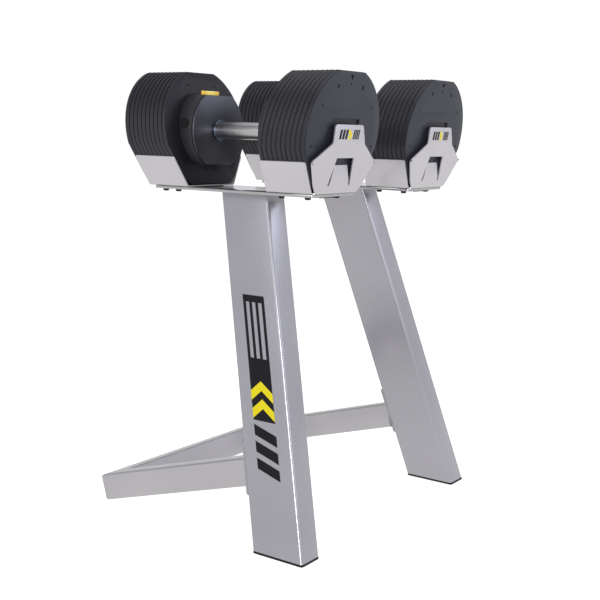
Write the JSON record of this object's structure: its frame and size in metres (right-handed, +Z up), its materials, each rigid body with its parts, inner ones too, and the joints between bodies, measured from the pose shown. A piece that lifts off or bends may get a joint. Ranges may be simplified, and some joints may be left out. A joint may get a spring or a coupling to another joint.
{
  "type": "adjustable dumbbell set with stand",
  "caption": "Pair of twist-grip adjustable dumbbells with leaning round weight plates, parked in folded steel cradles on a two-legged floor stand.",
  "frame": {"origin": "on the floor, at the middle of the set's footprint box", "axes": "+Z up, +X from the left dumbbell to the right one, +Y to the back of the stand, so the user stands at -Y"},
  "size_m": [0.5962, 0.5074, 0.8275],
  "materials": {
    "stand_paint": "satin silver powder coat on steel tube",
    "frame_paint": "satin silver powder coat on steel tube",
    "tray_paint": "glossy silver lacquer on sheet steel",
    "cradle_paint": "satin pale silver lacquer on folded sheet steel",
    "cap_rubber": "black moulded rubber",
    "plate_metal": "dark charcoal textured powder coat on steel plate",
    "drum_plastic": "black moulded housing",
    "cover_metal": "satin charcoal coat on a turned steel disc",
    "grip_steel": "knurled steel",
    "bar_steel": "plain machined steel",
    "indicator_yellow": "yellow indicator strip behind a clear window"
  },
  "bodies": {
    "stand": {"leg_left": "stand_paint", "foot_cap_left": "cap_rubber", "flange_left": "stand_paint", "base_arm_left": "frame_paint", "tray_left": "tray_paint", "cradle_left_front": "cradle_paint", "cradle_left_rear": "cradle_paint", "leg_right": "stand_paint", "foot_cap_right": "cap_rubber", "flange_right": "stand_paint", "base_arm_right": "frame_paint", "tray_right": "tray_paint", "cradle_right_front": "cradle_paint", "cradle_right_rear": "cradle_paint", "rear_beam": "frame_paint"},
    "left_handle": {"left_drum_front": "drum_plastic", "left_drum_rear": "drum_plastic", "left_hub_cover_front": "cover_metal", "left_hub_cover_rear": "cover_metal", "left_indicator": "indicator_yellow"},
    "left_grip": {"left_grip": "grip_steel"},
    "left_selector_front": {"left_selector_front": "bar_steel"},
    "left_weights_front": {"left_plate_front_1": "plate_metal", "left_plate_front_2": "plate_metal", "left_plate_front_3": "plate_metal", "left_plate_front_4": "plate_metal", "left_plate_front_5": "plate_metal", "left_plate_front_6": "plate_metal", "left_plate_front_7": "plate_metal", "left_plate_front_8": "plate_metal", "left_plate_front_9": "plate_metal", "left_plate_front_10": "plate_metal"},
    "left_selector_rear": {"left_selector_rear": "bar_steel"},
    "left_weights_rear": {"left_plate_rear_1": "plate_metal", "left_plate_rear_2": "plate_metal", "left_plate_rear_3": "plate_metal", "left_plate_rear_4": "plate_metal", "left_plate_rear_5": "plate_metal", "left_plate_rear_6": "plate_metal", "left_plate_rear_7": "plate_metal", "left_plate_rear_8": "plate_metal", "left_plate_rear_9": "plate_metal", "left_plate_rear_10": "plate_metal"},
    "right_handle": {"right_drum_front": "drum_plastic", "right_drum_rear": "drum_plastic", "right_hub_cover_front": "cover_metal", "right_hub_cover_rear": "cover_metal", "right_indicator": "indicator_yellow"},
    "right_grip": {"right_grip": "grip_steel"},
    "right_selector_front": {"right_selector_front": "bar_steel"},
    "right_weights_front": {"right_plates_front": "plate_metal"},
    "right_selector_rear": {"right_selector_rear": "bar_steel"},
    "right_weights_rear": {"right_plates_rear": "plate_metal"}
  },
  "joints": [
    {"name": "left_handle_lift", "type": "slide", "parent": "stand", "child": "left_handle", "axis": [0, 0, 1], "range_m": [0, 0.25]},
    {"name": "left_grip_twist", "type": "hinge", "parent": "left_handle", "child": "left_grip", "pos_m": [-0.163, -0.0249, 0.7235], "axis": [0, 1, 0], "range_deg": [0, 270]},
    {"name": "left_selector_front_slide", "type": "slide", "parent": "left_handle", "child": "left_selector_front", "axis": [0, -1, 0], "range_m": [0, 0.093]},
    {"name": "left_weights_front_lift", "type": "slide", "parent": "stand", "child": "left_weights_front", "axis": [0, -0.1483, 0.9889], "range_m": [0, 0.2528]},
    {"name": "left_selector_rear_slide", "type": "slide", "parent": "left_handle", "child": "left_selector_rear", "axis": [0, 1, 0], "range_m": [0, 0.093]},
    {"name": "left_weights_rear_lift", "type": "slide", "parent": "stand", "child": "left_weights_rear", "axis": [0, 0.1483, 0.9889], "range_m": [0, 0.2528]},
    {"name": "right_handle_lift", "type": "slide", "parent": "stand", "child": "right_handle", "axis": [0, 0, 1], "range_m": [0, 0.25]},
    {"name": "right_grip_twist", "type": "hinge", "parent": "right_handle", "child": "right_grip", "pos_m": [0.163, -0.0249, 0.7235], "axis": [0, 1, 0], "range_deg": [0, 270]},
    {"name": "right_selector_front_slide", "type": "slide", "parent": "right_handle", "child": "right_selector_front", "axis": [0, -1, 0], "range_m": [0, 0.093]},
    {"name": "right_weights_front_lift", "type": "slide", "parent": "stand", "child": "right_weights_front", "axis": [0, -0.1483, 0.9889], "range_m": [0, 0.2528]},
    {"name": "right_selector_rear_slide", "type": "slide", "parent": "right_handle", "child": "right_selector_rear", "axis": [0, 1, 0], "range_m": [0, 0.093]},
    {"name": "right_weights_rear_lift", "type": "slide", "parent": "stand", "child": "right_weights_rear", "axis": [0, 0.1483, 0.9889], "range_m": [0, 0.2528]}
  ],
  "couplings": [
    {"joint": "left_selector_front_slide", "follows": "left_grip_twist", "m_per_rad": 0.0194},
    {"joint": "left_selector_rear_slide", "follows": "left_grip_twist", "m_per_rad": 0.0194},
    {"joint": "right_selector_front_slide", "follows": "right_grip_twist", "m_per_rad": 0.0194},
    {"joint": "right_selector_rear_slide", "follows": "right_grip_twist", "m_per_rad": 0.0194}
  ]
}
